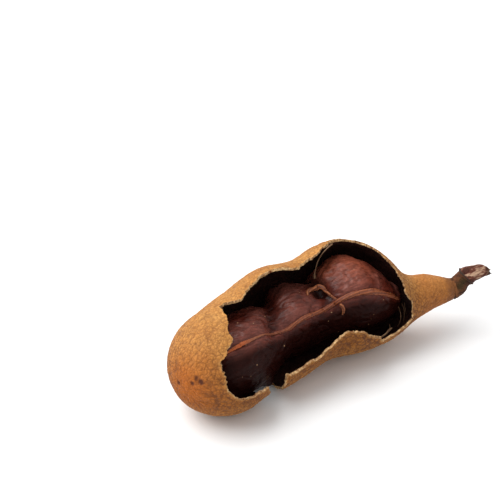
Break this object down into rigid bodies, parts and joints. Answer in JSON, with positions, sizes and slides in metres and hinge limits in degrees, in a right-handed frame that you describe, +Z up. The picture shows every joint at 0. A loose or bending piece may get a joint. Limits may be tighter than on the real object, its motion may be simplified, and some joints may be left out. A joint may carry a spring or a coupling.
{
  "type": "tamarind pod",
  "caption": "Ripe sweet tamarind pod cracked open along one side: thin brittle shell, shrunken sticky pulp with fibres, and a woody stalk.",
  "frame": {"origin": "on the surface the pod lies on, under the middle of the whole pod with its stalk", "axes": "+X along the pod from the blossom end to the stalk, -Y towards the cracked side, +Z up"},
  "size_m": [0.0892, 0.034, 0.0275],
  "materials": {
    "shell": "dry, brittle, tan and finely wrinkled",
    "pulp": "sticky dark red-brown with a soft sheen",
    "fibre": "orange-brown stringy plant fibre",
    "thread": "pale dry plant fibre",
    "stalk": "grey-brown bark"
  },
  "bodies": {
    "root": {"shell": "shell", "pulp": "pulp", "main_fibre": "fibre", "arch_fibre": "fibre", "branch_fibre": "fibre", "loose_thread": "thread", "curled_fibre": "thread", "stalk": "stalk"}
  },
  "joints": []
}
